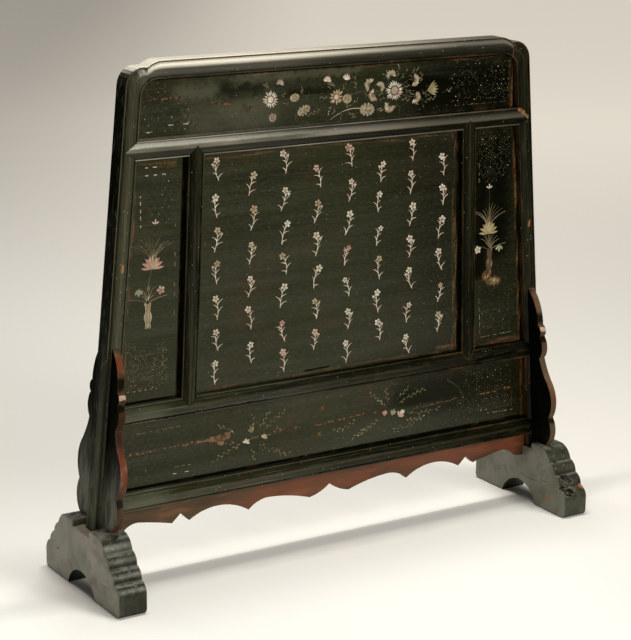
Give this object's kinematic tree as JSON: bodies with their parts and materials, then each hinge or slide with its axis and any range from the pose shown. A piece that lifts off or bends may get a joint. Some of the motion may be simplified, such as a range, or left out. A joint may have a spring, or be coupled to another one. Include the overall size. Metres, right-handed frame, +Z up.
{
  "type": "table screen",
  "caption": "Tapered frame-and-panel table screen with moulded stiles, rails and muntins, a scalloped apron, bracing spandrels and stepped shoe feet in black lacquer",
  "frame": {"origin": "middle of the footprint, on the surface that the feet stand on", "axes": "+X to the screen's right as seen from the front, +Y to the back, +Z up"},
  "size_m": [0.6398, 0.18, 0.58],
  "materials": {
    "black_lacquer": "black-green lacquer over wood, satin gloss with fine cracks and rubbed edges",
    "worn_lacquer": "black lacquer faces with edges worn down to red-brown wood",
    "red_lacquer": "thin red-brown lacquer over wood, satin",
    "mother_of_pearl": "thin shell slips set in lacquer, cream with pink and gold sheen"
  },
  "bodies": {
    "root": {"stile_left": "black_lacquer", "stile_right": "black_lacquer", "top_rail": "black_lacquer", "upper_rail": "black_lacquer", "lower_rail": "black_lacquer", "bottom_rail": "black_lacquer", "muntin_left": "black_lacquer", "muntin_right": "black_lacquer", "panel_top": "black_lacquer", "panel_left": "black_lacquer", "panel_centre": "black_lacquer", "panel_right": "black_lacquer", "panel_bottom": "black_lacquer", "apron": "red_lacquer", "spandrel_front_left": "worn_lacquer", "spandrel_front_right": "worn_lacquer", "spandrel_back_left": "worn_lacquer", "spandrel_back_right": "worn_lacquer", "foot_left": "black_lacquer", "foot_right": "black_lacquer"}
  },
  "joints": []
}
